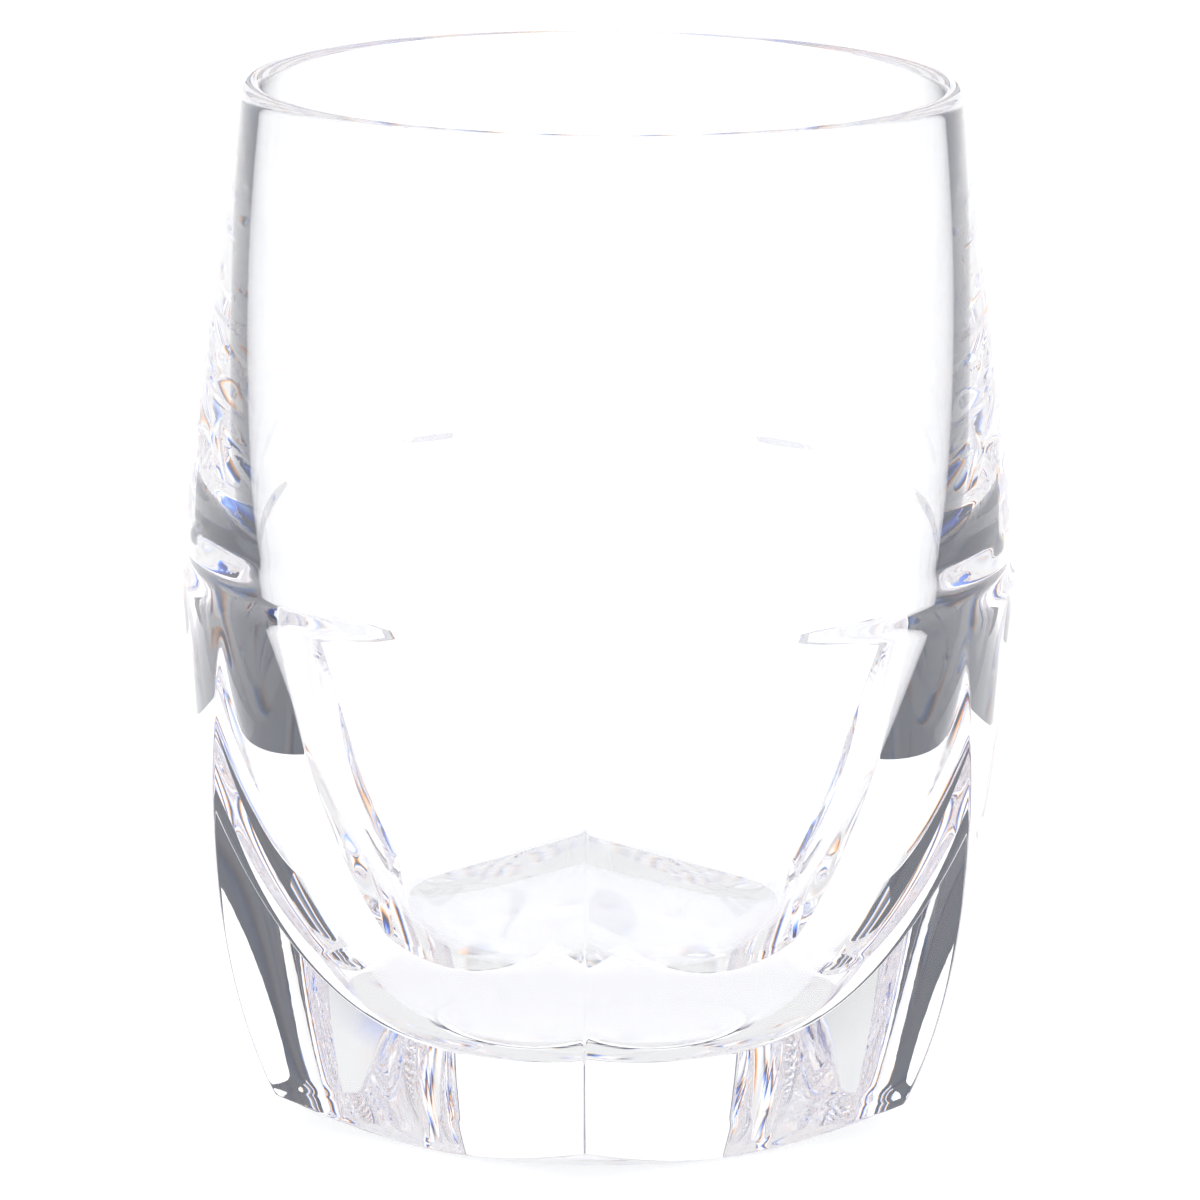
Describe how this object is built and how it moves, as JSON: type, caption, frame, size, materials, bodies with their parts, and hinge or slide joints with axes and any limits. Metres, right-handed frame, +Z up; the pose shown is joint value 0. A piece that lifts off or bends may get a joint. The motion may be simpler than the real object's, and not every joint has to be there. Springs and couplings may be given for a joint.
{
  "type": "whiskey tumbler",
  "caption": "Barrel-shaped clear crystal whiskey tumbler with a heavy base, cut all round its lower half with broad panels that meet in ridges.",
  "frame": {"origin": "centre of the flat face that the tumbler stands on", "axes": "+Z up along the tumbler's axis; a ridge between two cut panels points along -Y"},
  "size_m": [0.086, 0.0878, 0.1055],
  "materials": {
    "crystal": "clear polished lead-type crystal, fire-polished lip, wheel-cut and polished panels and foot"
  },
  "bodies": {
    "root": {"tumbler_glass": "crystal"}
  },
  "joints": []
}
